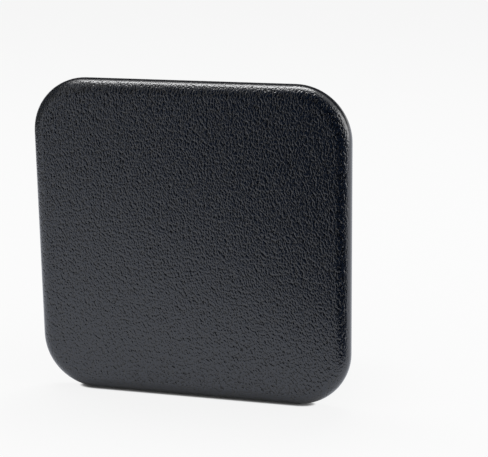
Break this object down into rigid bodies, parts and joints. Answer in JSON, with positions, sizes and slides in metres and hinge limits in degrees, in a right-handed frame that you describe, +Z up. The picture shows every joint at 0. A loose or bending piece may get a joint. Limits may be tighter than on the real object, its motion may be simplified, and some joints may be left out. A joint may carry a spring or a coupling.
{
  "type": "hitch receiver cover",
  "caption": "Square plate with rounded corners and a finely grained face, and a hollow finned plug behind it that grips inside a square hitch receiver and closes its open end.",
  "frame": {"origin": "on the plug's axis, in the plane of the plate's back face, which seats on the end of the receiver", "axes": "+Y into the receiver along the plug's axis, +Z up and +X to the right as the plate is seen from the front"},
  "size_m": [0.076, 0.039, 0.076],
  "materials": {
    "black_moulding": "fine leather grain on the face and its rounded edge, smooth satin on the back and the plug"
  },
  "bodies": {
    "root": {"receiver_cover": "black_moulding"}
  },
  "joints": []
}
